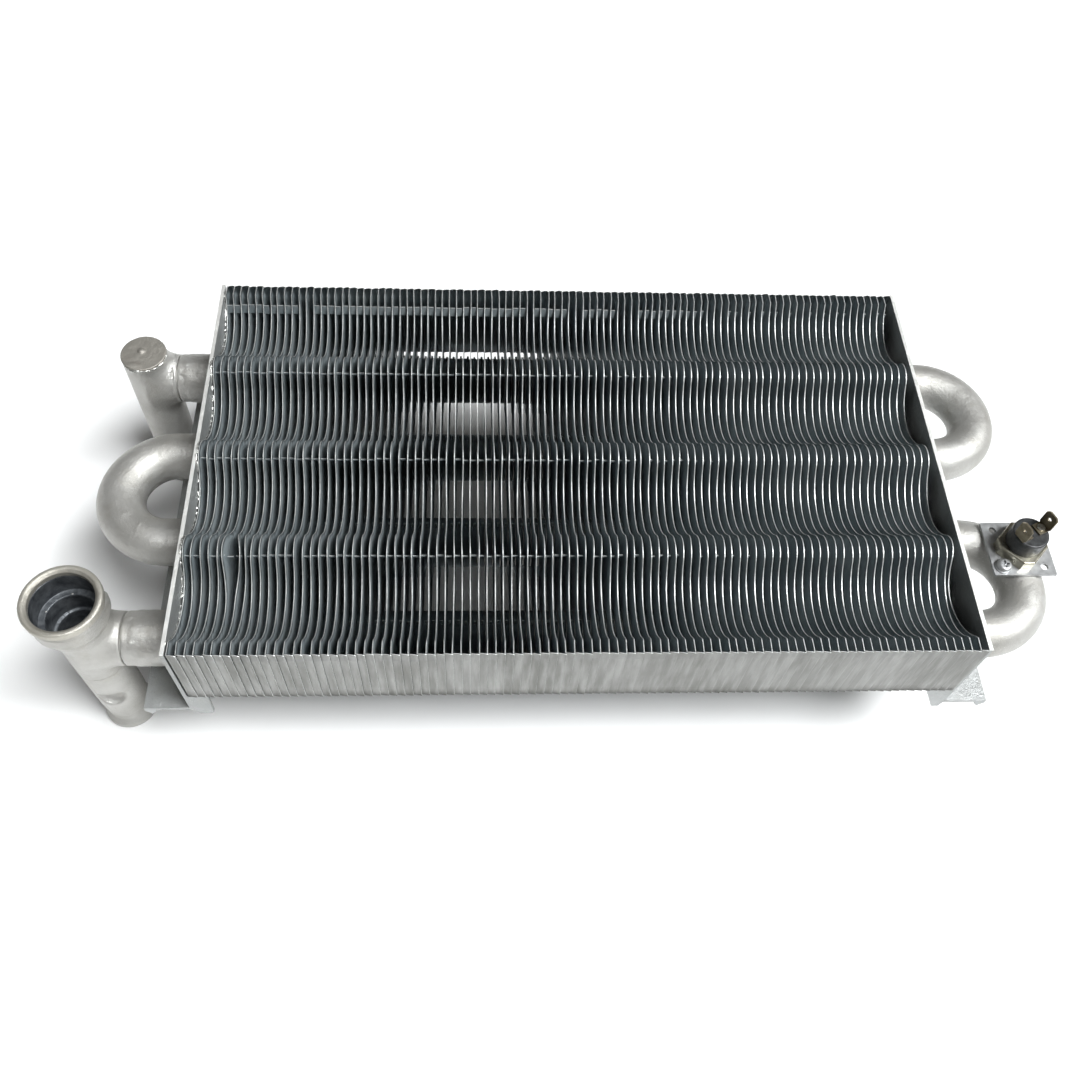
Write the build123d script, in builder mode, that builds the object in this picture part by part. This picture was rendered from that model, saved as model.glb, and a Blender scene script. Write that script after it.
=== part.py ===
from build123d import *
import os

# Finned-tube heat exchanger of a wall-hung gas boiler, in millimetres.
# +X runs along the tubes, +Y to the back, +Z up.  The origin is the centre of the
# bounding box in plan, at the level of the two lower pipe ends.

os.makedirs("parts", exist_ok=True)

# ---------------------------------------------------------------- driving dimensions
PACK_LENGTH = 310.0        # over the outer faces of the end plates
PACK_DEPTH = 184.0         # front to back
PLATE_HEIGHT = 50.4        # end plates, above the underside of their feet
SHEET = 1.5                # end plate sheet
FOOT_LEVEL = 50.0          # underside of the feet, above the pipe ends
FOOT_WIDTH = 18.0

TUBE_COUNT = 4
TUBE_PITCH = 44.5
TUBE_RADIUS = 10.0
TUBE_WALL = 1.0
TUBE_HEIGHT = 18.0         # tube axis above the underside of the feet
FIRST_TUBE = 23.0          # first tube axis behind the front of the pack
STUB = 4.0                 # tube end outside an end plate
FIT = 0.05                 # radial gap between a tube and what it passes through

BEND_REACH = 192.0         # bend centre line, outwards from the middle of the pack
CONNECTION_OFFSET = 194.5  # axis of the flow connection, same direction
RETURN_OFFSET = 189.5      # axis of the return header
RIM_RADIUS = 15.3          # rim of the flow union

SENSOR_OFFSET = 190.0      # thermostat axis, outwards from the middle of the pack
SENSOR_DEPTH = 57.5        # thermostat axis behind the front of the pack
SENSOR_PLATE = 27.0        # thermostat plate, along X
SENSOR_PLATE_DEPTH = 26.0
PLATE_THICKNESS = 1.2

FIN_COUNT = 95
FIN_PITCH = 3.22
FIN_SHEET = 0.4
LAST_FIN = 150.2           # last fin, right of the middle of the pack

# ---------------------------------------------------------------- derived places
LEFT_REACH = CONNECTION_OFFSET + RIM_RADIUS
RIGHT_REACH = SENSOR_OFFSET + SENSOR_PLATE / 2
MIDDLE = (LEFT_REACH - RIGHT_REACH) / 2          # X of the middle of the pack
FRONT = -PACK_DEPTH / 2                          # Y of the front of the pack
TUBE_LEVEL = FOOT_LEVEL + TUBE_HEIGHT
TUBE_YS = [FRONT + FIRST_TUBE + n * TUBE_PITCH for n in range(TUBE_COUNT)]
TUBE_END = PACK_LENGTH / 2 + STUB
PLATE_TOP = FOOT_LEVEL + PLATE_HEIGHT


def save(piece, name):
    """Label a finished piece and write its STEP file."""
    piece.label = name
    export_step(piece, f"parts/{name}.step")


# ---------------------------------------------------------------- end plates
TAB_TOP = 12.6             # front tabs, tapering down from the fin wall
TAB_DROP = 4.0             # tab and corner lip below the feet
TAB_CORNERS = {-1: (9.4, 8.7, 7.4, 3.4), 1: (12.0, 4.4, 3.6, 1.0)}
LIP_WIDTH = 4.5
FOLD_RADIUS = 1.2

for side, name in ((-1, "end_plate_left"), (1, "end_plate_right")):
    outer = MIDDLE + side * PACK_LENGTH / 2
    foot_edge = outer + side * FOOT_WIDTH
    tab_width, tab_side, tab_tip, tab_inner = TAB_CORNERS[side]
    with BuildPart() as end_plate:
        with BuildSketch(Plane.YZ.offset(outer)):
            with Locations((0, FOOT_LEVEL + PLATE_HEIGHT / 2)):
                Rectangle(PACK_DEPTH, PLATE_HEIGHT)
            with Locations([(y, TUBE_LEVEL) for y in TUBE_YS]):
                Circle(TUBE_RADIUS + FIT, mode=Mode.SUBTRACT)
        extrude(amount=-side * SHEET)
        with BuildSketch(Plane.XY.offset(FOOT_LEVEL)):
            with Locations((outer + side * (FOOT_WIDTH - SHEET) / 2, 0)):
                Rectangle(FOOT_WIDTH + SHEET, PACK_DEPTH)
        extrude(amount=SHEET)
        fold = end_plate.edges().filter_by(Axis.Y).filter_by_position(
            Axis.Z, FOOT_LEVEL - 0.1, FOOT_LEVEL + 0.1
        ).sort_by(Axis.X)
        fillet(fold[0] if side > 0 else fold[-1], radius=FOLD_RADIUS)
        with BuildSketch(Plane.XZ.offset(-FRONT)):
            with BuildLine():
                Polyline(
                    (outer, FOOT_LEVEL + TAB_TOP),
                    (outer - side * tab_width, FOOT_LEVEL + TAB_TOP),
                    (outer - side * tab_side, FOOT_LEVEL - TAB_DROP + 1),
                    (outer - side * tab_tip, FOOT_LEVEL - TAB_DROP),
                    (outer - side * tab_inner, FOOT_LEVEL - TAB_DROP),
                    (outer, FOOT_LEVEL + FOLD_RADIUS),
                    close=True,
                )
            make_face()
        extrude(amount=-SHEET)
        with BuildSketch(Plane.XZ.offset(-FRONT)):
            with BuildLine():
                Polyline(
                    (foot_edge, FOOT_LEVEL + SHEET),
                    (foot_edge - side * LIP_WIDTH, FOOT_LEVEL + SHEET),
                    (foot_edge - side * LIP_WIDTH, FOOT_LEVEL - 1),
                    (foot_edge - side * LIP_WIDTH / 2, FOOT_LEVEL - TAB_DROP),
                    (foot_edge, FOOT_LEVEL - 1),
                    close=True,
                )
            make_face()
        extrude(amount=-SHEET)
    save(end_plate.part, name)

# ---------------------------------------------------------------- fins
FIN_LIP_FRONT = 5.5        # flat tops beside the front and back walls
FIN_LIP_BACK = 4.6
WAVE_FIRST = -68.6         # middle of the first valley
WAVE_PITCH = 45.55
VALLEY_RADIUS = 19.5
FIN_VALLEY = 39.5          # bottoms of the waves, above the feet
FIN_CREST = 51.8           # tops of the waves
WALL_BOTTOM = 13.3         # lower edge of the fins and of their folded front wall
BACK_WALL_BOTTOM = 8.0     # lower edge of their folded back wall
FIN_UNDER = 3.0            # lowest point below each tube
UNDER_HALF = 14.2          # half width of the lobe below each tube
COLLAR_WALL = 0.35
COLLAR_LENGTH = 2.7

fin_back = FRONT + PACK_DEPTH - 1.0
last_fin = MIDDLE + LAST_FIN
valleys = [WAVE_FIRST + n * WAVE_PITCH for n in range(TUBE_COUNT)]
valley_level = FOOT_LEVEL + FIN_VALLEY
crest_level = FOOT_LEVEL + FIN_CREST
# each crest is an arc that meets the valley arcs on both sides smoothly
half_pitch = WAVE_PITCH / 2
valley_centre = valley_level + VALLEY_RADIUS
drop = valley_centre - crest_level
crest_radius = (half_pitch**2 + drop**2 - VALLEY_RADIUS**2) / (2 * (VALLEY_RADIUS - drop))
share = crest_radius / (crest_radius + VALLEY_RADIUS)
crest_half = half_pitch * share
crest_foot = crest_level - crest_radius + (drop + crest_radius) * share

with BuildPart() as fin:
    with BuildSketch(Plane.YZ.offset(last_fin)):
        with BuildLine():
            Line((FRONT, FOOT_LEVEL + WALL_BOTTOM), (FRONT, PLATE_TOP))
            start = (FRONT + FIN_LIP_FRONT, PLATE_TOP)
            Line((FRONT, PLATE_TOP), start)
            for valley in valleys[:-1]:
                end = (valley + half_pitch - crest_half, crest_foot)
                ThreePointArc(start, (valley, valley_level), end)
                start = (valley + half_pitch + crest_half, crest_foot)
                ThreePointArc(end, (valley + half_pitch, crest_level), start)
            end = (fin_back - FIN_LIP_BACK, PLATE_TOP)
            ThreePointArc(start, (valleys[-1], valley_level), end)
            Line(end, (fin_back, PLATE_TOP))
            Line((fin_back, PLATE_TOP), (fin_back, FOOT_LEVEL + WALL_BOTTOM))
            under = (fin_back, FOOT_LEVEL + WALL_BOTTOM)
            for y in reversed(TUBE_YS):
                lobe_start = (y + UNDER_HALF, FOOT_LEVEL + WALL_BOTTOM)
                lobe_end = (y - UNDER_HALF, FOOT_LEVEL + WALL_BOTTOM)
                Line(under, lobe_start)
                ThreePointArc(lobe_start, (y, FOOT_LEVEL + FIN_UNDER), lobe_end)
                under = lobe_end
            Line(under, (FRONT, FOOT_LEVEL + WALL_BOTTOM))
        make_face()
        with Locations([(y, TUBE_LEVEL) for y in TUBE_YS]):
            Circle(TUBE_RADIUS + FIT, mode=Mode.SUBTRACT)
    extrude(amount=FIN_SHEET / 2, both=True)
    with BuildSketch(Plane.YZ.offset(last_fin)):
        with Locations([(y, TUBE_LEVEL) for y in TUBE_YS]):
            Circle(TUBE_RADIUS + FIT + COLLAR_WALL)
            Circle(TUBE_RADIUS + FIT, mode=Mode.SUBTRACT)
    extrude(amount=COLLAR_LENGTH)
    flange = FIN_PITCH - FIN_SHEET / 2 - FIT
    flange_x = last_fin + flange / 2
    walls = ((FRONT + FIN_SHEET / 2, WALL_BOTTOM), (fin_back - FIN_SHEET / 2, BACK_WALL_BOTTOM))
    for wall_y, bottom in walls:
        with BuildSketch(Plane.XY.offset(FOOT_LEVEL + bottom)):
            with Locations((flange_x, wall_y)):
                Rectangle(flange, FIN_SHEET)
        extrude(amount=PLATE_HEIGHT - bottom)

fin_places = [Location((-n * FIN_PITCH, 0, 0)) for n in range(FIN_COUNT)]
fin_pack = Compound([fin.part.solid().moved(place) for place in fin_places])
save(fin_pack, "fin_pack")

# ---------------------------------------------------------------- tubes and turbulators
SLEEVE_REACHES = {1: 178.3, 4: 175.7}    # outer ends of the sleeves, from the middle of the pack
SLEEVE_GAP = 0.5           # bare tube between a sleeve and the fitting beyond it
STRIP_WIDTH = 16.4
STRIP_SHEET = 0.8
STRIP_LENGTH = 300.0
STRIP_TURNS = 5
STRIP_STEPS = 40           # sections along one strip

for n, y in enumerate(TUBE_YS, start=1):
    reach = SLEEVE_REACHES[n] + SLEEVE_GAP if n in SLEEVE_REACHES else TUBE_END
    left_end = MIDDLE - reach
    with BuildPart() as tube:
        with BuildSketch(Plane.YZ.offset(left_end)):
            with Locations((y, TUBE_LEVEL)):
                Circle(TUBE_RADIUS)
                Circle(TUBE_RADIUS - TUBE_WALL, mode=Mode.SUBTRACT)
        extrude(amount=MIDDLE + TUBE_END - left_end)
    save(tube.part, f"tube_{n}")

    with BuildPart() as turbulator:
        for step in range(STRIP_STEPS + 1):
            along = MIDDLE - STRIP_LENGTH / 2 + STRIP_LENGTH * step / STRIP_STEPS
            turn = 360 * STRIP_TURNS * step / STRIP_STEPS
            with BuildSketch(Plane.YZ.offset(along)):
                with Locations(Location((y, TUBE_LEVEL, 0), (0, 0, turn))):
                    Rectangle(STRIP_WIDTH, STRIP_SHEET)
        loft(ruled=True)
    save(turbulator.part, f"turbulator_{n}")

# ---------------------------------------------------------------- return bends
BEND_RADIUS = TUBE_PITCH / 2
bend_start = TUBE_END
bend_centre = BEND_REACH - BEND_RADIUS

for name, side, near in (("u_bend_left", -1, 1), ("u_bend_right_front", 1, 0), ("u_bend_right_back", 1, 2)):
    front_y, back_y = TUBE_YS[near], TUBE_YS[near + 1]
    middle_y = (front_y + back_y) / 2
    start_x = MIDDLE + side * bend_start
    turn_x = MIDDLE + side * bend_centre
    apex_x = MIDDLE + side * BEND_REACH
    with BuildPart() as u_bend:
        with BuildLine(Plane.XY.offset(TUBE_LEVEL)) as route:
            Line((start_x, front_y), (turn_x, front_y))
            ThreePointArc((turn_x, front_y), (apex_x, middle_y), (turn_x, back_y))
            Line((turn_x, back_y), (start_x, back_y))
        with BuildSketch(Plane(origin=(start_x, front_y, TUBE_LEVEL), z_dir=(side, 0, 0))):
            Circle(TUBE_RADIUS)
            Circle(TUBE_RADIUS - TUBE_WALL, mode=Mode.SUBTRACT)
        sweep(path=route.line)
    save(u_bend.part, name)

# ---------------------------------------------------------------- brazed rings
RING_WALL = 0.9
RING_LENGTH = 1.6
RING_GAP = 0.02


def ring(plane_x, y, length):
    """A ring round a tube, extruded from plane_x along +X."""
    with BuildPart() as collar:
        with BuildSketch(Plane.YZ.offset(plane_x)):
            with Locations((y, TUBE_LEVEL)):
                Circle(TUBE_RADIUS + FIT + RING_WALL)
                Circle(TUBE_RADIUS + RING_GAP, mode=Mode.SUBTRACT)
        extrude(amount=length)
        outer_edges = collar.edges().filter_by(GeomType.CIRCLE).group_by(SortBy.RADIUS)[-1]
        chamfer(outer_edges, length=RING_WALL / 2)
    return collar.part


half = PACK_LENGTH / 2
left_plain, right_all = TUBE_YS[1:3], TUBE_YS
plate_rings = [ring(MIDDLE - half - RING_LENGTH, y, RING_LENGTH) for y in left_plain]
plate_rings += [ring(MIDDLE + half, y, RING_LENGTH) for y in right_all]
save(Compound([piece.solid() for piece in plate_rings]), "plate_braze_rings")

joint_rings = [ring(MIDDLE - TUBE_END - RING_LENGTH / 2, y, RING_LENGTH) for y in left_plain]
joint_rings += [ring(MIDDLE + TUBE_END - RING_LENGTH / 2, y, RING_LENGTH) for y in right_all]
save(Compound([piece.solid() for piece in joint_rings]), "bend_braze_rings")

# ---------------------------------------------------------------- sleeves to the connections
SLEEVE_WALL = 1.2

for name, n in (("flow_sleeve", 1), ("return_sleeve", TUBE_COUNT)):
    y, reach = TUBE_YS[n - 1], SLEEVE_REACHES[n]
    sleeve_start = MIDDLE - reach
    with BuildPart() as sleeve:
        with BuildSketch(Plane.YZ.offset(sleeve_start)):
            with Locations((y, TUBE_LEVEL)):
                Circle(TUBE_RADIUS + SLEEVE_WALL)
                Circle(TUBE_RADIUS + RING_GAP, mode=Mode.SUBTRACT)
        extrude(amount=reach - half)
        outer_edges = sleeve.edges().filter_by(GeomType.CIRCLE).group_by(SortBy.RADIUS)[-1]
        fillet(outer_edges.sort_by(Axis.X)[0], radius=0.8)
    save(sleeve.part, name)

# ---------------------------------------------------------------- flow connection
UNION_TOP = 50.0           # levels here are above the underside of the feet
RIM_HEIGHT = 3.5
UNION_RADIUS = 14.3
UNION_STEP = 37.0
NECK_RADIUS = 12.2
NECK_LEVEL = 31.0
TEE_BOTTOM = 0.0
TEE_RADIUS = 10.2
SOCKET_BORE = 12.3
SOCKET_FLOOR = 36.0
INNER_BORE = 9.8
TEE_BORE = 8.6
PIPE_BORE = 8.0
PIPE_RADIUS = 9.0
BEAD_RADIUS = 11.0
BEAD_HEIGHT = 4.0
BRANCH_RADIUS = TUBE_RADIUS + 0.3
BRANCH_BORE = 7.5

flow_x, flow_y = MIDDLE - CONNECTION_OFFSET, TUBE_YS[0]
flow_axis = Plane(origin=(flow_x, flow_y, FOOT_LEVEL), x_dir=(1, 0, 0), z_dir=(0, -1, 0))
branch_end = MIDDLE - SLEEVE_REACHES[1] - SLEEVE_GAP

with BuildPart() as flow_tee:
    with BuildSketch(flow_axis):
        with BuildLine():
            Polyline(
                (0, TEE_BOTTOM),
                (TEE_RADIUS, TEE_BOTTOM),
                (TEE_RADIUS, NECK_LEVEL - 5),
                (NECK_RADIUS, NECK_LEVEL),
                (NECK_RADIUS, NECK_LEVEL + 2),
                (UNION_RADIUS, UNION_STEP),
                (UNION_RADIUS, UNION_TOP - RIM_HEIGHT),
                (0, UNION_TOP - RIM_HEIGHT),
                close=True,
            )
        make_face()
    revolve(axis=Axis((flow_x, flow_y, 0), (0, 0, 1)))
    with BuildSketch(Plane.YZ.offset(flow_x)):
        with Locations((flow_y, TUBE_LEVEL)):
            Circle(BRANCH_RADIUS)
    extrude(amount=branch_end - flow_x)
    with Locations((flow_x, flow_y, FOOT_LEVEL + UNION_TOP - RIM_HEIGHT)):
        Hole(SOCKET_BORE, depth=UNION_TOP - RIM_HEIGHT - SOCKET_FLOOR)
        Hole(INNER_BORE, depth=UNION_TOP - RIM_HEIGHT - NECK_LEVEL + 5)
        Hole(TEE_BORE, depth=UNION_TOP - RIM_HEIGHT - TEE_BOTTOM)
    with BuildSketch(Plane.YZ.offset(branch_end)):
        with Locations((flow_y, TUBE_LEVEL)):
            Circle(BRANCH_BORE)
    extrude(amount=-(branch_end - flow_x), mode=Mode.SUBTRACT)
save(flow_tee.part, "flow_tee")

with BuildPart() as flow_union_rim:
    with BuildSketch(Plane.XY.offset(FOOT_LEVEL + UNION_TOP - RIM_HEIGHT)):
        with Locations((flow_x, flow_y)):
            Circle(RIM_RADIUS)
            Circle(SOCKET_BORE, mode=Mode.SUBTRACT)
    extrude(amount=RIM_HEIGHT)
    rim_top = flow_union_rim.edges().group_by(Axis.Z)[-1].sort_by(SortBy.RADIUS)
    fillet(rim_top[-1], radius=0.8)
    chamfer(rim_top[0], length=0.7)
save(flow_union_rim.part, "flow_union_rim")

with BuildPart() as flow_pipe:
    with BuildSketch(flow_axis):
        with BuildLine():
            Polyline(
                (PIPE_BORE, TEE_BOTTOM),
                (PIPE_RADIUS, TEE_BOTTOM),
                (PIPE_RADIUS, -FOOT_LEVEL + BEAD_HEIGHT + 2),
                (BEAD_RADIUS, -FOOT_LEVEL + BEAD_HEIGHT),
                (BEAD_RADIUS, -FOOT_LEVEL),
                (PIPE_BORE, -FOOT_LEVEL),
                close=True,
            )
        make_face()
    revolve(axis=Axis((flow_x, flow_y, 0), (0, 0, 1)))
    fillet(flow_pipe.edges().group_by(Axis.Z)[0].sort_by(SortBy.RADIUS)[-1], radius=1.0)
save(flow_pipe.part, "flow_pipe")

# ---------------------------------------------------------------- return header
HEADER_TOP = 33.5
HEADER_RADIUS = 10.0
PORT_BORE = 8.8            # drawn-in lower end of the header
PORT_LENGTH = 40.0
CAP_HEIGHT = 1.5
NIPPLE_RADIUS = 1.3

return_x, return_y = MIDDLE - RETURN_OFFSET, TUBE_YS[-1]
branch_end = MIDDLE - SLEEVE_REACHES[TUBE_COUNT] - SLEEVE_GAP
return_axis = Plane(origin=(return_x, return_y, FOOT_LEVEL), x_dir=(1, 0, 0), z_dir=(0, -1, 0))

with BuildPart() as return_header:
    with BuildSketch(return_axis):
        with BuildLine():
            Polyline(
                (0, HEADER_TOP),
                (HEADER_RADIUS, HEADER_TOP),
                (HEADER_RADIUS, -FOOT_LEVEL + BEAD_HEIGHT + 1),
                (BEAD_RADIUS, -FOOT_LEVEL + BEAD_HEIGHT),
                (BEAD_RADIUS, -FOOT_LEVEL),
                (0, -FOOT_LEVEL),
                close=True,
            )
        make_face()
    revolve(axis=Axis((return_x, return_y, 0), (0, 0, 1)))
    with BuildSketch(Plane.YZ.offset(return_x)):
        with Locations((return_y, TUBE_LEVEL)):
            Circle(BRANCH_RADIUS)
    extrude(amount=branch_end - return_x)
    with Locations((return_x, return_y, FOOT_LEVEL + HEADER_TOP)):
        Hole(HEADER_RADIUS - TUBE_WALL, depth=HEADER_TOP + FOOT_LEVEL - PORT_LENGTH)
        Hole(PORT_BORE, depth=HEADER_TOP + FOOT_LEVEL)
    with BuildSketch(Plane.YZ.offset(branch_end)):
        with Locations((return_y, TUBE_LEVEL)):
            Circle(BRANCH_BORE)
    extrude(amount=-(branch_end - return_x), mode=Mode.SUBTRACT)
save(return_header.part, "return_header")

with BuildPart() as return_cap:
    with BuildSketch(Plane.XY.offset(FOOT_LEVEL + HEADER_TOP)):
        with Locations((return_x, return_y)):
            Circle(HEADER_RADIUS)
    extrude(amount=CAP_HEIGHT)
    fillet(return_cap.edges().group_by(Axis.Z)[-1], radius=0.6)
    with BuildSketch(Plane.XY.offset(FOOT_LEVEL + HEADER_TOP + CAP_HEIGHT)):
        with Locations((return_x, return_y)):
            Circle(NIPPLE_RADIUS)
    extrude(amount=0.8)
    fillet(return_cap.edges().group_by(Axis.Z)[-1], radius=0.5)
save(return_cap.part, "return_cap")

# ---------------------------------------------------------------- thermostat mounting
SCREW_SPACING = 18.0
SCREW_HOLE = 1.6
SADDLE_WIDTH = 14.0
SADDLE_DEPTH = 10.0
SADDLE_DROP = 4.0
SADDLE_WEB = 0.4           # thinnest part of the saddle, over the top of the bend

sensor_x, sensor_y = MIDDLE + SENSOR_OFFSET, FRONT + SENSOR_DEPTH
plate_bottom = TUBE_LEVEL + TUBE_RADIUS + SADDLE_WEB
plate_top = plate_bottom + PLATE_THICKNESS
screw_places = [(sensor_x - SCREW_SPACING / 2, sensor_y - SCREW_SPACING / 2),
                (sensor_x + SCREW_SPACING / 2, sensor_y + SCREW_SPACING / 2)]

with BuildPart() as sensor_plate:
    with BuildSketch(Plane.XY.offset(plate_bottom)):
        with Locations((sensor_x, sensor_y)):
            Rectangle(SENSOR_PLATE, SENSOR_PLATE_DEPTH)
            with GridLocations(SCREW_SPACING, SCREW_SPACING, 2, 2):
                Circle(SCREW_HOLE, mode=Mode.SUBTRACT)
    extrude(amount=PLATE_THICKNESS)
    fillet(sensor_plate.edges().filter_by(Axis.Z).filter_by(GeomType.LINE), radius=0.6)
save(sensor_plate.part, "sensor_plate")

bend_y = (TUBE_YS[0] + TUBE_YS[1]) / 2
with BuildPart() as bend_space:
    with BuildLine(Plane.XY.offset(TUBE_LEVEL)) as bend_route:
        ThreePointArc(
            (MIDDLE + bend_centre, TUBE_YS[0]),
            (MIDDLE + BEND_REACH, bend_y),
            (MIDDLE + bend_centre, TUBE_YS[1]),
        )
    with BuildSketch(Plane(origin=(MIDDLE + bend_centre, TUBE_YS[0], TUBE_LEVEL), z_dir=(1, 0, 0))):
        Circle(TUBE_RADIUS + FIT)
    sweep(path=bend_route.line)

with BuildPart() as sensor_saddle:
    with BuildSketch(Plane.XY.offset(plate_bottom)):
        with Locations((sensor_x, sensor_y)):
            Rectangle(SADDLE_WIDTH, SADDLE_DEPTH)
    extrude(amount=-SADDLE_DROP)
    add(bend_space.part, mode=Mode.SUBTRACT)
save(sensor_saddle.part, "sensor_saddle")

# ---------------------------------------------------------------- thermostat
CASE_FLATS = 18.0          # square case, turned 45 degrees
CASE_CORNERS = 20.8        # over its cut corners
CASE_HEIGHT = 5.0
CASE_WALL = 0.6
BODY_RADIUS = 7.5
BODY_HEIGHT = 8.0
BODY_WALL = 1.5
DISC_RADIUS = 6.5
DISC_RISE = 0.6
DISC_SHEET = 0.25
TERMINAL_TURN = 24.6       # degrees about the thermostat axis
TERMINAL_OFFSET = 7.0
BLADE_WIDTH = 6.3
BLADE_HEIGHT = 9.0
BLADE_SHEET = 0.8
PAD_LENGTH = 5.2
RIVET_RADIUS = 1.3

case_top = plate_top + CASE_HEIGHT
body_top = case_top + BODY_HEIGHT

with BuildPart() as thermostat_case:
    with BuildSketch(Plane.XY.offset(plate_top)):
        with Locations(Location((sensor_x, sensor_y, 0), (0, 0, 45))):
            Rectangle(CASE_FLATS, CASE_FLATS)
        with Locations((sensor_x, sensor_y)):
            Rectangle(CASE_CORNERS, CASE_CORNERS, mode=Mode.INTERSECT)
    extrude(amount=CASE_HEIGHT)
    fillet(thermostat_case.edges().group_by(Axis.Z)[-1], radius=0.8)
    with BuildSketch(Plane.XY.offset(plate_top + CASE_WALL)):
        with Locations((sensor_x, sensor_y)):
            Circle(BODY_RADIUS + FIT)
    extrude(amount=CASE_HEIGHT, mode=Mode.SUBTRACT)
save(thermostat_case.part, "thermostat_case")

body_bottom = plate_top + CASE_WALL + 1.4
with BuildPart() as thermostat_body:
    with BuildSketch(Plane.XY.offset(body_bottom)):
        with Locations((sensor_x, sensor_y)):
            Circle(BODY_RADIUS)
    extrude(amount=body_top - body_bottom)
    fillet(thermostat_body.edges().group_by(Axis.Z)[-1], radius=0.8)
    with BuildSketch(Plane.XY.offset(body_bottom)):
        with Locations((sensor_x, sensor_y)):
            Circle(BODY_RADIUS - BODY_WALL)
    extrude(amount=body_top - body_bottom - BODY_WALL, mode=Mode.SUBTRACT)
    with BuildSketch(Plane.XY.offset(body_top)):
        with Locations(Location((sensor_x, sensor_y, 0), (0, 0, TERMINAL_TURN))):
            with GridLocations(2 * (TERMINAL_OFFSET - PAD_LENGTH / 2), 0, 2, 1):
                Circle(RIVET_RADIUS)
    extrude(amount=-BODY_WALL, mode=Mode.SUBTRACT)
save(thermostat_body.part, "thermostat_body")

disc_level = plate_top + CASE_WALL + 0.3
with BuildPart() as bimetal_disc:
    with BuildSketch(Plane(origin=(sensor_x, sensor_y, disc_level), x_dir=(1, 0, 0), z_dir=(0, -1, 0))):
        with BuildLine():
            Polyline(
                (0, DISC_RISE),
                (DISC_RADIUS / 2, DISC_RISE * 0.7),
                (DISC_RADIUS, 0),
                (DISC_RADIUS, DISC_SHEET),
                (DISC_RADIUS / 2, DISC_RISE * 0.7 + DISC_SHEET),
                (0, DISC_RISE + DISC_SHEET),
                close=True,
            )
        make_face()
    revolve(axis=Axis((sensor_x, sensor_y, 0), (0, 0, 1)))
save(bimetal_disc.part, "bimetal_disc")

arm_level = body_top - BODY_WALL - 2.4
with BuildPart() as transfer_pin:
    with BuildSketch(Plane.XY.offset(disc_level + 1.0)):
        with Locations((sensor_x, sensor_y)):
            Circle(1.0)
    extrude(amount=arm_level - disc_level - 1.0)
save(transfer_pin.part, "transfer_pin")

with BuildPart() as contact_arm:
    with BuildSketch(Plane.XY.offset(arm_level)):
        with Locations(Location((sensor_x, sensor_y, 0), (0, 0, TERMINAL_TURN))):
            SlotOverall(2 * TERMINAL_OFFSET - 2.6, 3.0)
    extrude(amount=0.4)
save(contact_arm.part, "contact_arm")

for name, turn in (("terminal_left", 180 + TERMINAL_TURN), ("terminal_right", TERMINAL_TURN)):
    seat = Plane(origin=(sensor_x, sensor_y, body_top)).rotated((0, 0, turn))
    blade_foot = seat.from_local_coords((TERMINAL_OFFSET, 0, 0))
    blade_face = Plane(origin=blade_foot, x_dir=seat.y_dir, z_dir=seat.x_dir)
    with BuildPart() as terminal:
        with BuildSketch(seat):
            with Locations((TERMINAL_OFFSET - PAD_LENGTH / 2, 0)):
                Rectangle(PAD_LENGTH, BLADE_WIDTH - 1)
                Circle(RIVET_RADIUS, mode=Mode.SUBTRACT)
        extrude(amount=BLADE_SHEET)
        with BuildSketch(blade_face):
            with Locations((0, BLADE_HEIGHT / 2)):
                blade = Rectangle(BLADE_WIDTH, BLADE_HEIGHT)
            chamfer(blade.vertices().group_by(Axis.Z)[-1], length=1.4)
            with Locations((0, BLADE_HEIGHT - 3.4)):
                Circle(0.9, mode=Mode.SUBTRACT)
        extrude(amount=-BLADE_SHEET)
    save(terminal.part, name)

with BuildPart() as terminal_rivets:
    for turn in (180 + TERMINAL_TURN, TERMINAL_TURN):
        rivet_seat = Plane(origin=(sensor_x, sensor_y, body_top)).rotated((0, 0, turn))
        with BuildSketch(rivet_seat.offset(-BODY_WALL)):
            with Locations((TERMINAL_OFFSET - PAD_LENGTH / 2, 0)):
                Circle(RIVET_RADIUS - FIT)
        extrude(amount=BODY_WALL + BLADE_SHEET)
        with BuildSketch(rivet_seat.offset(BLADE_SHEET)):
            with Locations((TERMINAL_OFFSET - PAD_LENGTH / 2, 0)):
                Circle(RIVET_RADIUS + 0.4)
        extrude(amount=0.5)
save(terminal_rivets.part, "terminal_rivets")

# ---------------------------------------------------------------- screws and washers
WASHER_RADIUS = 3.6
WASHER_SHEET = 0.6
HEAD_RADIUS = 3.1
HEAD_HEIGHT = 2.0
SCREW_LENGTH = 5.0
RECESS_LENGTH = 3.4
RECESS_WIDTH = 0.8

with BuildPart() as sensor_washers:
    with BuildSketch(Plane.XY.offset(plate_top)):
        with Locations(screw_places):
            Circle(WASHER_RADIUS)
            Circle(SCREW_HOLE, mode=Mode.SUBTRACT)
    extrude(amount=WASHER_SHEET)
save(sensor_washers.part, "sensor_washers")

head_bottom = plate_top + WASHER_SHEET
with BuildPart() as sensor_screws:
    with BuildSketch(Plane.XY.offset(head_bottom)):
        with Locations(screw_places):
            Circle(HEAD_RADIUS)
    extrude(amount=HEAD_HEIGHT)
    fillet(sensor_screws.edges().group_by(Axis.Z)[-1], radius=1.2)
    with BuildSketch(Plane.XY.offset(head_bottom)):
        with Locations(screw_places):
            Circle(SCREW_HOLE - FIT)
    extrude(amount=-SCREW_LENGTH)
    with BuildSketch(Plane.XY.offset(head_bottom + HEAD_HEIGHT)):
        with Locations(screw_places):
            Rectangle(RECESS_LENGTH, RECESS_WIDTH)
            Rectangle(RECESS_WIDTH, RECESS_LENGTH)
    extrude(amount=-1.2, mode=Mode.SUBTRACT)
save(sensor_screws.part, "sensor_screws")
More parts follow.
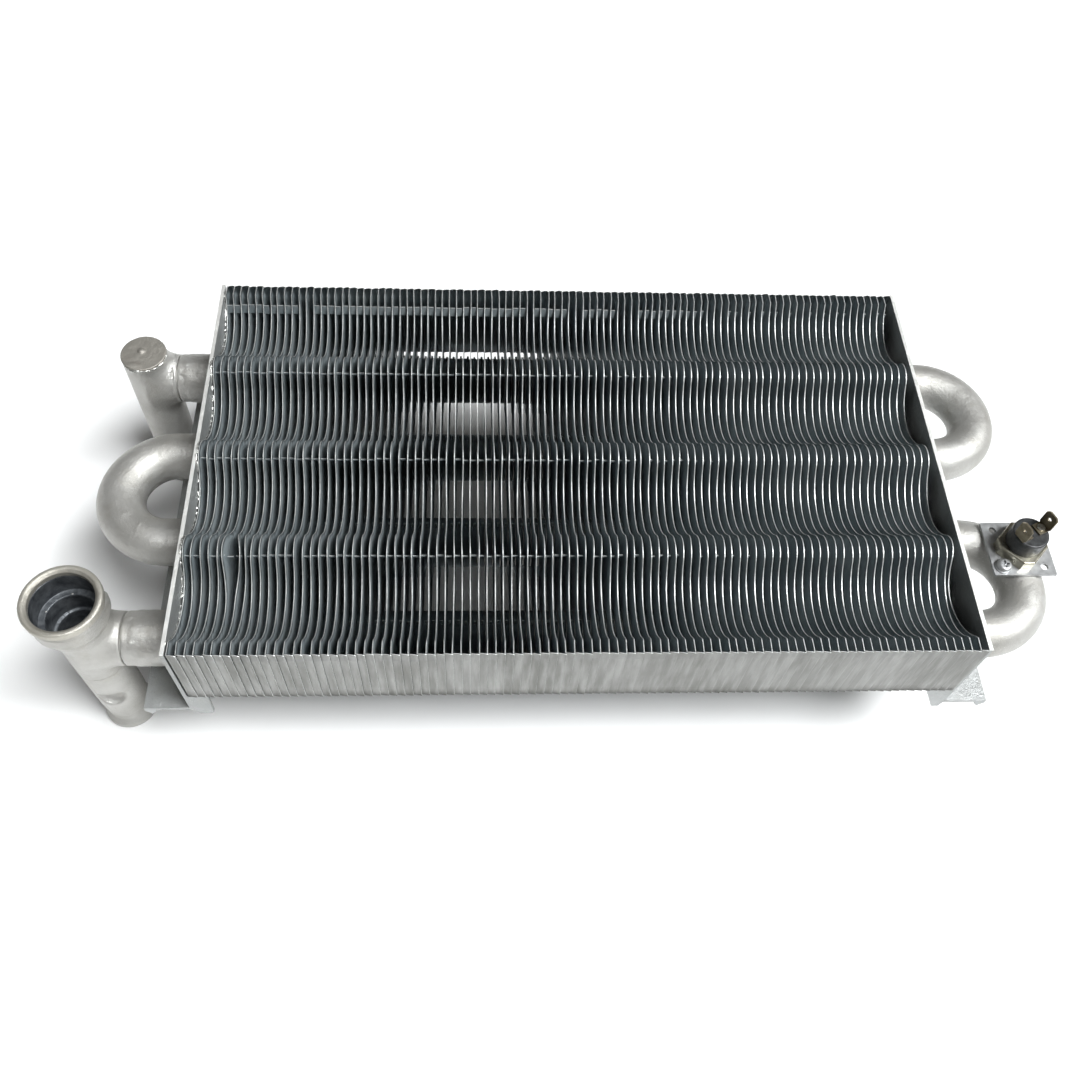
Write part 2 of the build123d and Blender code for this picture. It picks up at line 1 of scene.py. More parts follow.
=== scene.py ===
"""Finned-tube boiler heat exchanger: the looks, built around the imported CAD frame.

Lengths in this script are in millimetres, in the frame of the CAD, and MM turns them into metres."""
import math

import bpy
import numpy as np
from mathutils import Matrix, Vector, geometry, noise


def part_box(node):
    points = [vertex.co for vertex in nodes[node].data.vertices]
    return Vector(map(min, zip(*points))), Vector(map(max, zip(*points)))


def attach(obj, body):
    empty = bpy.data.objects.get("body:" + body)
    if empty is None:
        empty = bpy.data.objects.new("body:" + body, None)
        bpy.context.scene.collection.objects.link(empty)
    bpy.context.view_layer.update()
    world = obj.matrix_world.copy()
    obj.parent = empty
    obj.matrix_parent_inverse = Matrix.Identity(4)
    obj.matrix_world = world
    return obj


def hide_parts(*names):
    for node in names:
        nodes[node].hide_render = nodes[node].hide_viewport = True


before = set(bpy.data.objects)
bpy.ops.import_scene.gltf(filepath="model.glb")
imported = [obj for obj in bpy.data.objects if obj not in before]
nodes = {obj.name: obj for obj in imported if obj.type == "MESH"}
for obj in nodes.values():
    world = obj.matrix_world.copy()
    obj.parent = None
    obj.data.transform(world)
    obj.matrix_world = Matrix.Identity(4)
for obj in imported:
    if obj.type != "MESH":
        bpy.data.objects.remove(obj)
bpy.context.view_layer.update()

MM = 0.001


def millimetres(node):
    """The lowest and highest corner of a CAD node, in millimetres."""
    low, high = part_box(node)
    return low / MM, high / MM


# ------------------------------------------------------------------ camera, floor and light
# The camera was fitted to the part's edges as they are seen from the front and above.
CAMERA_AT = (-39.2, -259.0, 452.7)
LOOKS_DOWN = math.radians(58.31)
TURNS_RIGHT = math.radians(7.02)
ROLLS = math.radians(6.01)
LENS, SENSOR = 35.13, 36.0
DAYLIGHT = (0.97, 0.99, 1.0)
ROOM_LIGHT = (1.0, 0.975, 0.93)
FLOOR_REACH = 6000


def make_camera():
    data = bpy.data.cameras.new("camera")
    data.lens, data.sensor_width = LENS, SENSOR
    data.clip_start, data.clip_end = 0.01, 20.0
    camera = bpy.data.objects.new("camera", data)
    turn = Matrix.Rotation(-TURNS_RIGHT, 4, "Z") @ Matrix.Rotation(math.pi / 2 - LOOKS_DOWN, 4, "X")
    roll = Matrix.Rotation(ROLLS, 4, "Z")
    camera.matrix_world = Matrix.Translation(Vector(CAMERA_AT) * MM) @ turn @ roll
    bpy.context.collection.objects.link(camera)
    bpy.context.scene.camera = camera


def make_sun(name, towards, strength, spread):
    """A soft distant light. towards points from the object to the light, spread is in degrees."""
    data = bpy.data.lights.new(name, "SUN")
    data.energy, data.angle, data.color = strength, math.radians(spread), DAYLIGHT
    light = bpy.data.objects.new(name, data)
    light.rotation_mode = "QUATERNION"
    light.rotation_quaternion = Vector(towards).to_track_quat("Z", "Y")
    bpy.context.collection.objects.link(light)


def make_softbox(name, place, target, size, power):
    """A square light panel at place that faces target; these three are in metres."""
    data = bpy.data.lights.new(name, "AREA")
    data.shape, data.size, data.energy, data.color = "SQUARE", size, power, DAYLIGHT
    light = bpy.data.objects.new(name, data)
    light.location = Vector(place)
    light.rotation_mode = "QUATERNION"
    light.rotation_quaternion = (Vector(place) - Vector(target)).to_track_quat("Z", "Y")
    bpy.context.collection.objects.link(light)


def make_world(level):
    """Even light from all sides."""
    world = bpy.data.worlds.new("studio")
    world.use_nodes = True
    back = world.node_tree.nodes["Background"]
    back.inputs["Color"].default_value = (*ROOM_LIGHT, 1.0)
    back.inputs["Strength"].default_value = level
    bpy.context.scene.world = world


# ------------------------------------------------------------------ materials
class Finish:
    """A Principled material and short ways to feed it."""

    def __init__(self, name, **settings):
        self.material = bpy.data.materials.new(name)
        self.material.use_nodes = True
        self.tree = self.material.node_tree
        self.shader = self.tree.nodes["Principled BSDF"]
        for socket, value in settings.items():
            self.shader.inputs[socket.replace("_", " ")].default_value = value
        self.place = self.tree.nodes.new("ShaderNodeTexCoord").outputs["Object"]

    def node(self, kind, inputs=None, **settings):
        """A shader node; inputs are values or other nodes' sockets."""
        made = self.tree.nodes.new("ShaderNode" + kind)
        for key, value in settings.items():
            setattr(made, key, value)
        for key, value in (inputs or {}).items():
            if isinstance(value, bpy.types.NodeSocket):
                self.tree.links.new(value, made.inputs[key])
            else:
                made.inputs[key].default_value = value
        return made

    def stretched(self, x, y, z):
        """Object coordinates scaled by these numbers."""
        return self.node("Mapping", {"Vector": self.place, "Scale": (x, y, z)}).outputs["Vector"]

    def noise(self, scale, detail=3.0, roughness=0.55, vector=None):
        """Cloudy noise from 0 to 1, over object coordinates unless a vector is given."""
        inputs = {"Vector": vector or self.place, "Scale": scale, "Detail": detail, "Roughness": roughness}
        return self.node("TexNoise", inputs).outputs["Fac"]

    def cells(self, scale):
        """Distance to the middle of the nearest cell."""
        return self.node("TexVoronoi", {"Vector": self.place, "Scale": scale}).outputs["Distance"]

    def spread(self, value, low, high, to_low=0.0, to_high=1.0):
        """Stretches the range low to high over to_low to to_high, and clamps."""
        inputs = {"Value": value, "From Min": low, "From Max": high, "To Min": to_low, "To Max": to_high}
        return self.node("MapRange", inputs).outputs["Result"]

    def blend(self, amount, first, second):
        """Colour between first and second. amount is a socket; a colour is a socket or three numbers."""
        made = self.tree.nodes.new("ShaderNodeMix")
        made.data_type = "RGBA"
        self.tree.links.new(amount, made.inputs[0])
        for socket, colour in ((made.inputs[6], first), (made.inputs[7], second)):
            if isinstance(colour, bpy.types.NodeSocket):
                self.tree.links.new(colour, socket)
            else:
                socket.default_value = (*colour, 1.0)
        return made.outputs[2]

    def bump(self, height, depth, normal=None):
        """A normal tilted by height; depth is in millimetres."""
        inputs = {"Height": height, "Distance": depth * MM, "Strength": 1.0}
        if normal is not None:
            inputs["Normal"] = normal
        return self.node("Bump", inputs).outputs["Normal"]

    def feed(self, socket, value):
        self.tree.links.new(value, self.shader.inputs[socket])


SPECK_COLOUR = (0.90, 0.90, 0.88)
# colour of the painted highlight on the end plates' top edge
EDGE_HIGHLIGHT_COLOUR = (0.93, 0.93, 0.90)
EDGE_HIGHLIGHT_BAND = 0.0003          # metres of a plate's height, under its top edge, that get a painted highlight


def silver_coat(name, dark, light, warm, rough=(0.40, 0.56), bright_above=None):
    """Satin silver dip coating: clouded, with a fine grain, small bright specks and dull smudges.

    bright_above is the level, in metres, of a plate's top edge, which is coloured near white as a painted
    highlight."""
    f = Finish(name, Metallic=0.72)
    clouds = f.spread(f.noise(38.0, 4.0), 0.35, 0.68)
    smudges = f.spread(f.noise(95.0, 5.0, 0.65), 0.54, 0.74)
    colour = f.blend(clouds, dark, light)
    colour = f.blend(f.spread(smudges, 0.0, 1.0, 0.0, 0.5), colour, warm)
    specks = f.spread(f.cells(1100.0), 0.0, 0.20, 1.0, 0.0)
    patches = f.spread(f.noise(70.0, 3.0), 0.5, 0.64)
    shown = f.node("Math", {0: specks, 1: patches}, operation="MULTIPLY").outputs[0]
    colour = f.blend(shown, colour, SPECK_COLOUR)
    # Painted highlight: a plate's top edge is coloured near white.
    if bright_above is not None:
        level = f.node("SeparateXYZ", {"Vector": f.place}).outputs["Z"]
        edge_highlight = f.spread(level, bright_above - EDGE_HIGHLIGHT_BAND, bright_above)
        colour = f.blend(edge_highlight, colour, EDGE_HIGHLIGHT_COLOUR)
    f.feed("Base Color", colour)
    f.feed("Roughness", f.spread(f.noise(420.0, 4.0, 0.7), 0.3, 0.7, *rough))
    broad = f.bump(f.noise(140.0, 3.0), 0.45)
    grain = f.noise(1100.0, 4.0, 0.75)
    f.feed("Normal", f.bump(grain, 0.24, broad))
    return f.material


def painted_shade_bore():
    """The inside of the pipes, coloured near black as painted shade, with real darker stains in places."""
    f = Finish("painted_shade_bore", Metallic=0.5)
    stain = f.spread(f.noise(180.0, 4.0, 0.6), 0.35, 0.7)
    # Painted shade: the bore is coloured near black for the shade inside the pipe; the stain noise is
    # real.
    f.feed("Base Color", f.blend(stain, (0.030, 0.034, 0.040), (0.14, 0.15, 0.16)))
    f.feed("Roughness", f.spread(f.noise(300.0), 0.3, 0.7, 0.35, 0.6))
    f.feed("Normal", f.bump(f.noise(600.0, 3.0), 0.06))
    return f.material


def fin_face():
    """Dull dark blue-grey sheet with vertical drawing marks and hazy deposits."""
    f = Finish("fin_face", Metallic=0.35)
    haze = f.spread(f.noise(55.0, 4.0), 0.38, 0.66)
    streaks = f.spread(f.noise(160.0, 3.0, 0.6, f.stretched(1.0, 3.0, 0.35)), 0.35, 0.7)
    colour = f.blend(haze, (0.31, 0.355, 0.37), (0.41, 0.45, 0.46))
    colour = f.blend(f.spread(streaks, 0.0, 1.0, 0.0, 0.5), colour, (0.25, 0.29, 0.315))
    f.feed("Base Color", colour)
    f.feed("Roughness", f.spread(f.noise(240.0), 0.3, 0.7, 0.38, 0.55))
    f.feed("Normal", f.bump(f.noise(420.0, 3.0), 0.05))
    return f.material


def fin_edge():
    """Bright sheared edge of the fin sheet; also a painted glint on the sides of the collar prongs."""
    f = Finish("fin_edge", Metallic=0.6)
    wear = f.spread(f.noise(700.0, 3.0), 0.3, 0.72)
    f.feed("Base Color", f.blend(wear, (0.44, 0.455, 0.45), (0.68, 0.69, 0.675)))
    f.feed("Roughness", f.spread(f.noise(900.0), 0.3, 0.7, 0.35, 0.6))
    f.feed("Normal", f.bump(f.noise(1500.0), 0.03))
    return f.material


def fin_wall():
    """Folded fin flanges that close the pack's front and back: pale, scored by slanting rub marks."""
    f = Finish("fin_wall", Metallic=0.8)
    turn = (0.0, math.radians(38), 0.0)
    slant = f.node("Mapping", {"Vector": f.place, "Rotation": turn, "Scale": (1.0, 1.0, 0.12)})
    marks = f.spread(f.noise(260.0, 4.0, 0.6, slant.outputs["Vector"]), 0.42, 0.68)
    haze = f.spread(f.noise(30.0, 3.0), 0.35, 0.65)
    colour = f.blend(haze, (0.19, 0.19, 0.178), (0.265, 0.265, 0.255))
    colour = f.blend(f.spread(marks, 0.0, 1.0, 0.0, 0.6), colour, (0.37, 0.37, 0.36))
    f.feed("Base Color", colour)
    f.feed("Roughness", f.spread(marks, 0.0, 1.0, 0.5, 0.36))
    f.feed("Normal", f.bump(marks, 0.03))
    return f.material


def plain_metal(name, dark, light, metal=1.0, rough=(0.25, 0.4), depth=0.02):
    """Clouded metal between two colours, with a light grain of this depth in millimetres."""
    f = Finish(name, Metallic=metal)
    f.feed("Base Color", f.blend(f.spread(f.noise(300.0, 4.0), 0.35, 0.68), dark, light))
    f.feed("Roughness", f.spread(f.noise(510.0, 3.0), 0.3, 0.7, *rough))
    f.feed("Normal", f.bump(f.noise(900.0, 3.0), depth))
    return f.material


def moulding():
    """Black phenolic with a faint bloom."""
    f = Finish("moulding")
    bloom = f.spread(f.noise(500.0, 4.0), 0.35, 0.7)
    f.feed("Base Color", f.blend(bloom, (0.014, 0.015, 0.016), (0.05, 0.052, 0.054)))
    f.feed("Roughness", f.spread(f.noise(800.0, 3.0), 0.3, 0.7, 0.32, 0.55))
    f.feed("Normal", f.bump(f.noise(1800.0, 3.0), 0.03))
    return f.material


def floor_finish():
    """Pale matt paper."""
    f = Finish("floor", Roughness=0.9)
    cloud = f.spread(f.noise(6.0), 0.3, 0.7)
    f.feed("Base Color", f.blend(cloud, (0.90, 0.90, 0.895), (0.92, 0.92, 0.92)))
    return f.material


# ------------------------------------------------------------------ mesh helpers
def new_piece(name, vertices, faces, materials, slots=None, smooth=None):
    """A mesh piece from millimetre vertices. slots gives each face its material, smooth its shading."""
    mesh = bpy.data.meshes.new(name)
    mesh.from_pydata((np.asarray(vertices, float) * MM).tolist(), [], faces)
    for material in materials:
        mesh.materials.append(material)
    if slots is not None:
        mesh.polygons.foreach_set("material_index", np.asarray(slots, np.int32))
    if smooth is not None:
        mesh.polygons.foreach_set("use_smooth", np.broadcast_to(smooth, len(mesh.polygons)).copy())
    mesh.update()
    piece = bpy.data.objects.new(name, mesh)
    bpy.context.collection.objects.link(piece)
    return piece


def arc_height(y, start, end, middle_z):
    """Height at y of the circular arc through start, (half way, middle_z) and end."""
    (y0, z0), (y1, z1) = start, end
    half, sag = (y1 - y0) / 2, middle_z - (z0 + z1) / 2
    radius = (half * half + sag * sag) / (2 * abs(sag))
    centre_y = (y0 + y1) / 2
    drop = radius - math.sqrt(max(radius * radius - (y - centre_y) ** 2, 0.0))
    tilt = (z1 - z0) * (y - centre_y) / (y1 - y0)
    return middle_z + (drop if sag < 0 else -drop) + tilt


# ------------------------------------------------------------------ skins round distance functions
# A distance function takes an array of points and gives each one's distance to a surface,
# negative inside. Shapes are blended by melting the distances together.
SETTLING_STEPS = 2          # how often a skin's vertices are moved onto the exact surface
PROBE = 0.04                # reach of the slope measurement for that


def skin(distance, low, high, step):
    """Vertices and quads of the surface where the distance is zero, by surface nets."""
    axes = [np.arange(a - 2 * step, b + 2.5 * step, step) for a, b in zip(low, high)]
    grid = np.stack(np.meshgrid(*axes, indexing="ij"), -1)
    shape = grid.shape[:3]
    field = distance(grid.reshape(-1, 3)).reshape(shape)
    field[np.abs(field) < 1e-9] = 1e-9
    cells = tuple(n - 1 for n in shape)
    total, count = np.zeros(cells + (3,)), np.zeros(cells)
    crossings = []
    for axis in range(3):
        first = np.take(field, range(cells[axis]), axis)
        second = np.take(field, range(1, shape[axis]), axis)
        crossing = (first < 0) != (second < 0)
        share = np.where(crossing, first / np.where(crossing, first - second, 1.0), 0.0)
        crossings.append((crossing, first))
        one, two = [a for a in range(3) if a != axis]
        for off_one in (0, 1):
            for off_two in (0, 1):
                cut = [slice(None)] * 3
                cut[one] = slice(off_one, off_one + cells[one])
                cut[two] = slice(off_two, off_two + cells[two])
                here = crossing[tuple(cut)]
                total[..., axis] += share[tuple(cut)]
                total[..., one] += off_one * here
                total[..., two] += off_two * here
                count += here
    active = count > 0
    number = np.full(cells, -1)
    number[active] = np.arange(int(active.sum()))
    corner = np.array([a[0] for a in axes])
    vertices = corner + step * (np.argwhere(active) + total[active] / count[active][:, None])
    quads = []
    for axis, (crossing, first) in enumerate(crossings):
        one, two = (axis + 1) % 3, (axis + 2) % 3
        at = np.argwhere(crossing)
        start = first[crossing]
        corners = []
        for back_one, back_two in ((1, 1), (0, 1), (0, 0), (1, 0)):
            cell = at.copy()
            cell[:, one] -= back_one
            cell[:, two] -= back_two
            corners.append(number[cell[:, 0], cell[:, 1], cell[:, 2]])
        quad = np.stack(corners, 1)
        quads.append(np.where((start < 0)[:, None], quad, quad[:, ::-1]))
    for _ in range(SETTLING_STEPS):
        value = distance(vertices)
        changes = [distance(vertices + d) - distance(vertices - d) for d in np.eye(3) * PROBE]
        slope = np.stack(changes, 1) / (2 * PROBE)
        move = -value[:, None] * slope / np.maximum((slope**2).sum(1), 0.25)[:, None]
        vertices = vertices + np.clip(move, -0.5 * step, 0.5 * step)
    return vertices, np.concatenate(quads).tolist()


def rod(points, start, end, radius, round_by=0.0):
    """Distance to a capped cylinder."""
    start, end = np.array(start, float), np.array(end, float)
    length = np.linalg.norm(end - start)
    along_axis = (end - start) / length
    off = points - start
    along = off @ along_axis
    across = np.linalg.norm(off - along[:, None] * along_axis, axis=1)
    side = across - (radius - round_by)
    cap = np.abs(along - length / 2) - (length / 2 - round_by)
    outside = np.hypot(np.maximum(side, 0), np.maximum(cap, 0))
    return np.minimum(np.maximum(side, cap), 0) + outside - round_by


def from_axis(points, x, y):
    """Each point's distance from the vertical line at x, y."""
    return np.hypot(points[:, 0] - x, points[:, 1] - y)


def slab(points, low_z, high_z):
    """Distance to the space between two levels."""
    return np.abs(points[:, 2] - (low_z + high_z) / 2) - (high_z - low_z) / 2


def turned(points, x, y, levels, radii):
    """Distance to a shape turned about a vertical axis, its radius given at some levels."""
    side = from_axis(points, x, y) - np.interp(points[:, 2], levels, radii)
    return np.maximum(side * 0.9, slab(points, levels[0], levels[-1]))


def bead(points, centre, axis, radius, thick):
    """Distance to a thin ring of weld metal round the axis with this number (0 to 2).

    thick is half its thickness."""
    off = points - np.array(centre, float)
    one, two = [a for a in range(3) if a != axis]
    return np.hypot(np.hypot(off[:, one], off[:, two]) - radius, off[:, axis]) - thick


def blob(points, centre, size):
    """Distance, roughly, to an ellipsoid with these half sizes."""
    size = np.array(size, float)
    return (np.linalg.norm((points - np.array(centre, float)) / size, axis=1) - 1) * size.min()


def melt(a, b, width):
    """Union of two distances, with a fillet."""
    share = np.clip(0.5 + 0.5 * (b - a) / width, 0, 1)
    return b * (1 - share) + a * share - width * share * (1 - share)


def carve(a, b, width=0.3):
    """a without b, with a softened edge."""
    return -melt(-a, b, width)


def ripple(points, size):
    """A smooth irregular field between about -1 and 1, whose lumps are about this size."""
    x, y, z = (points / size).T
    first = np.sin(1.7 * x + 1.9 * np.sin(1.3 * y + 0.7) + 0.4)
    second = np.sin(1.9 * y + 1.7 * np.sin(1.1 * z + 2.1) + 1.3)
    third = np.sin(1.5 * z + 1.8 * np.sin(1.4 * x + 4.0) + 2.2)
    return (first + second + third) / 3


def skin_piece(name, distance, low, high, step, materials, node, inside=None):
    """A piece made from a distance function, standing for a CAD node (or for none).

    step is the size of a face. Faces for which inside says True take the second material."""
    vertices, faces = skin(distance, low, high, step)
    slots = None
    if inside is not None:
        slots = inside(vertices[np.array(faces)].mean(axis=1)).astype(int)
    piece = new_piece(name, vertices, faces, materials, slots, smooth=True)
    if node:
        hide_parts(node)
    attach(piece, "root")


# ------------------------------------------------------------------ fins
FIN_COUNT, FIN_PITCH = 95, 3.22
LIP_FRONT, LIP_BACK = 5.5, 4.6      # flat tops beside the front and back walls
WAVE_FIRST, WAVE_PITCH = -68.6, 45.55   # along Y: the first valley, and from one to the next
VALLEY_RADIUS = 19.5
VALLEY_DROP = 12.3          # depth of the valleys under the crests
WALL_BOTTOM = 10.3          # the front wall's lower edge, over the lowest point of a fin
BACK_WALL_BOTTOM = 5.0      # the back wall's
UNDER_HALF = 14.2           # half width of the lobe under each tube
SHEET = 0.34                # thickness of a fin
HOLE_RADIUS, COLLAR_RADIUS, COLLAR_LENGTH = 10.02, 10.4, 2.6
HOLE_POINTS = 24
OUTLINE_POINTS, WALL_POINTS = 139, 8
INNER_DEPTHS = (1.5, 4.0, 8.0, 13.0, 19.0, 26.0)    # rows of mesh points, under the upper edge
WALL_OVERLAP = 0.35         # how far a folded wall reaches past the next fin
TAB_THICKNESS = 0.32
PRONG_LENGTH, PRONG_HALF, PRONG_HEIGHT = 0.9, 0.2, 3.0
FINS_PER_PIECE = 19

fins_low, fins_high = millimetres("fin_pack")
plate_top = millimetres("end_plate_left")[1].z
front_y, back_y = fins_low.y, fins_high.y
crest_top, under_bottom = fins_high.z, fins_low.z
wall_bottom = under_bottom + WALL_BOTTOM
tube_boxes = [millimetres(f"tube_{n}") for n in (1, 2, 3, 4)]
tube_ys = [(low.y + high.y) / 2 for low, high in tube_boxes]
tube_z = (tube_boxes[0][0].z + tube_boxes[0][1].z) / 2
valley_ys = [WAVE_FIRST + n * WAVE_PITCH for n in range(4)]
last_fin_x = fins_high.x - FIN_PITCH + SHEET / 2
fin_xs = [last_fin_x - FIN_PITCH * n for n in reversed(range(FIN_COUNT))]


def top_height(y):
    """Height of a fin's upper edge at y."""
    if y <= front_y + LIP_FRONT or y >= back_y - LIP_BACK:
        return plate_top
    valley_bottom = crest_top - VALLEY_DROP
    half_pitch = WAVE_PITCH / 2
    drop = VALLEY_RADIUS - VALLEY_DROP
    crest_radius = (half_pitch**2 + drop**2 - VALLEY_RADIUS**2) / (2 * (VALLEY_RADIUS - drop))
    crest_half = half_pitch * crest_radius / (crest_radius + VALLEY_RADIUS)
    for valley in valley_ys[:-1]:
        off = y - valley - half_pitch
        if abs(off) < crest_half:
            return crest_top - crest_radius + math.sqrt(crest_radius**2 - off**2)
    off = min(abs(y - valley) for valley in valley_ys)
    height = valley_bottom + VALLEY_RADIUS - math.sqrt(max(VALLEY_RADIUS**2 - off**2, 0.0))
    return min(height, plate_top) if not valley_ys[0] < y < valley_ys[-1] else height


def under_height(y):
    """Height of a fin's lower edge at y."""
    for tube_y in tube_ys:
        if abs(y - tube_y) < UNDER_HALF:
            start, end = (tube_y - UNDER_HALF, wall_bottom), (tube_y + UNDER_HALF, wall_bottom)
            return arc_height(y, start, end, under_bottom)
    return wall_bottom


def fin_outline():
    """The fin's outline as (y, z), anticlockwise seen from +X."""
    ys = np.linspace(front_y, back_y, OUTLINE_POINTS)
    under = [(y, under_height(y)) for y in ys]
    over = [(y, top_height(y)) for y in ys[::-1]]
    back = [(back_y, z) for z in np.linspace(wall_bottom, plate_top, WALL_POINTS)[1:-1]]
    front = [(front_y, z) for z in np.linspace(plate_top, wall_bottom, WALL_POINTS)[1:-1]]
    return under + back + over + front


def fin_sheet_mesh():
    """One flat fin as points (y, z), triangles, its outline's and its holes' rings of point numbers."""
    outline = fin_outline()
    rings = [list(range(len(outline)))]
    points = list(outline)
    angles = np.arange(HOLE_POINTS) * 2 * math.pi / HOLE_POINTS
    circle = [(COLLAR_RADIUS * math.cos(a), COLLAR_RADIUS * math.sin(a)) for a in angles]
    for tube_y in tube_ys:
        rings.append(list(range(len(points), len(points) + HOLE_POINTS)))
        points += [(tube_y + y, tube_z - z) for y, z in circle]
    for depth in INNER_DEPTHS:
        for y in np.arange(front_y + 2.0, back_y - 1.0, 3.6 + depth * 0.06):
            z = top_height(y) - depth
            clear = min(math.hypot(y - t, z - tube_z) for t in tube_ys)
            if clear > COLLAR_RADIUS + 1.6 and z > under_height(y) + 1.0:
                points.append((y, z))
    edges = [(ring[i], ring[(i + 1) % len(ring)]) for ring in rings for i in range(len(ring))]
    found = geometry.delaunay_2d_cdt([Vector(p) for p in points], edges, [], 0, 1e-5)
    flat, faces = [tuple(p) for p in found[0]], found[2]
    kept = []
    for face in faces:
        y = sum(flat[i][0] for i in face) / 3
        z = sum(flat[i][1] for i in face) / 3
        in_hole = any(math.hypot(y - t, z - tube_z) < COLLAR_RADIUS * 0.985 for t in tube_ys)
        if not in_hole and under_height(y) < z < top_height(y) + 0.02:
            kept.append(face)
    return flat, kept, rings


FACE, EDGE, WALL = 0, 1, 2          # material slots of the fin pieces


class FinMaker:
    """Gathers fins, one after another, into one mesh."""

    def __init__(self):
        self.vertices, self.faces, self.slots, self.smooth = [], [], [], []

    def strip(self, ring_a, ring_b, slot, smooth=True, closed=True):
        """Quads between two rows of points, or between two rings where closed."""
        count = len(ring_a) if closed else len(ring_a) - 1
        for i in range(count):
            j = (i + 1) % len(ring_a)
            self.faces.append((ring_a[i], ring_a[j], ring_b[j], ring_b[i]))
            self.slots.append(slot)
            self.smooth.append(smooth)

    def points(self, points):
        """Adds points and gives their numbers."""
        first = len(self.vertices)
        self.vertices += points
        return list(range(first, first + len(points)))

    def fin(self, x, sheet, lean):
        """One fin whose sheet stands at x. lean(y, z) shifts it sideways."""
        flat, triangles, rings = sheet
        half = SHEET / 2
        shift = [lean(y, z) for y, z in flat]
        left = self.points([(x + s - half, y, z) for (y, z), s in zip(flat, shift)])
        right = self.points([(x + s + half, y, z) for (y, z), s in zip(flat, shift)])
        for a, b, c in triangles:
            self.faces += [(left[c], left[b], left[a]), (right[a], right[b], right[c])]
            self.slots += [FACE, FACE]
            self.smooth += [True, True]
        outline = rings[0]
        self.strip([right[i] for i in outline], [left[i] for i in outline], EDGE, smooth=False)
        for ring in rings[1:]:
            self.collar(x, flat, shift, ring, left, right)

    def collar(self, x, flat, shift, ring, left, right):
        """The short tube drawn out of the sheet round a hole, open at its far end."""
        middle = sum(flat[i][0] for i in ring) / len(ring)
        shrink = HOLE_RADIUS / COLLAR_RADIUS
        places = [flat[i] for i in ring]
        inner = [(middle + (y - middle) * shrink, tube_z + (z - tube_z) * shrink) for y, z in places]
        near = self.points([(x + shift[i] - SHEET / 2, y, z) for i, (y, z) in zip(ring, inner)])
        far = self.points([(x + COLLAR_LENGTH, y, z) for y, z in inner])
        rim = self.points([(x + COLLAR_LENGTH, *flat[i]) for i in ring])
        self.strip([left[i] for i in ring], near, FACE)
        self.strip(near, far, FACE)
        self.strip(far, rim, EDGE, smooth=False)
        self.strip(rim, [right[i] for i in ring], FACE)

    def flange(self, x, wall_y, outward, bottom, swing, top, arch):
        """A folded flange along +X from the sheet's front or back edge, between two levels.

        swing is how far its free end stands out, arch how far its upper corners drop."""
        half, reach = SHEET / 2, FIN_PITCH + WALL_OVERLAP
        # along X, out from the wall, share of the corner's drop
        plan = [(0.0, 0.0, 0.8), (0.25, 0.12, 0.5), (0.9, 0.2, 0.1),
                (reach * 0.6, 0.2 + swing * 0.5, 0.0), (reach * 0.85, 0.2 + swing * 0.8, 0.25),
                (reach, 0.2 + swing, 1.0)]
        outer, inner = [], []
        for along, out, fall in plan:
            heights = np.linspace(bottom, top - fall * arch, 7)
            start_x, face_y = x - half + along, wall_y + outward * out
            rear_y = wall_y + outward * (out - SHEET * 0.8)
            outer.append([(start_x, face_y, z) for z in heights])
            inner.append([(start_x + 0.1, rear_y, z) for z in heights])
        outer = [self.points(column) for column in outer]
        inner = [self.points(column) for column in inner]
        steps = range(len(plan) - 1)
        flip = outward < 0
        for i in steps:
            for a, b, slot in ((outer[i], outer[i + 1], WALL), (inner[i + 1], inner[i], FACE)):
                first, second = (a, b) if flip else (b, a)
                self.strip(first, second, slot, closed=False)
        ends = [(outer[i][-1], outer[i + 1][-1], inner[i + 1][-1], inner[i][-1]) for i in steps]
        ends += [(inner[i][0], inner[i + 1][0], outer[i + 1][0], outer[i][0]) for i in steps]
        self.faces += [face if flip else face[::-1] for face in ends]
        self.slots += [EDGE] * len(ends)
        self.smooth += [False] * len(ends)
        for a, b in ((outer[-1], inner[-1]), (inner[0], outer[0])):
            first, second = (a, b) if flip else (b, a)
            self.strip(first, second, EDGE, smooth=False, closed=False)

    def box(self, low, high, slot):
        """A small block between two corners; its top is a cut edge."""
        (x0, y0, z0), (x1, y1, z1) = low, high
        under = self.points([(x0, y0, z0), (x1, y0, z0), (x1, y1, z0), (x0, y1, z0)])
        over = self.points([(x0, y0, z1), (x1, y0, z1), (x1, y1, z1), (x0, y1, z1)])
        self.faces += [tuple(over), tuple(under[::-1])]
        self.slots += [EDGE, slot]
        self.smooth += [False, False]
        self.strip(under, over, slot, smooth=False)

    def tab(self, x, y, low_z, high_z, share):
        """A spacer tab from the fin at x; share is the part of the gap to the next fin that it crosses."""
        start, reach = x + SHEET / 2, (FIN_PITCH - SHEET) * share
        self.box((start, y, low_z), (start + reach, y + TAB_THICKNESS, high_z), FACE)

    def prong(self, x, y):
        """The upturned end of a collar, over the tube: a real cut edge on top, and its sides in the bright
        edge finish as a painted glint.
        """
        level = tube_z + COLLAR_RADIUS - 0.4
        low = (x, y - PRONG_HALF, level)
        # Painted glint: the prong's sides take the bright cut-edge finish.
        self.box(low, (x + PRONG_LENGTH, y + PRONG_HALF, level + PRONG_HEIGHT), EDGE)


def hump(y, middle, half):
    """A smooth bump over y, 1 at the middle and 0 outside middle +- half."""
    share = abs(y - middle) / half
    return 0.5 + 0.5 * math.cos(math.pi * share) if share < 1 else 0.0


# where single fins were bent: number, middle of the bend along Y, half its length, shift along X
BENT = [(5, -50, 20, -1.3), (6, -51, 15, 1.9), (7, -52, 20, 1.1),
        (93, -66, 20, 0.5), (94, -62, 21, -2.3), (94, -30, 22, -0.5)]
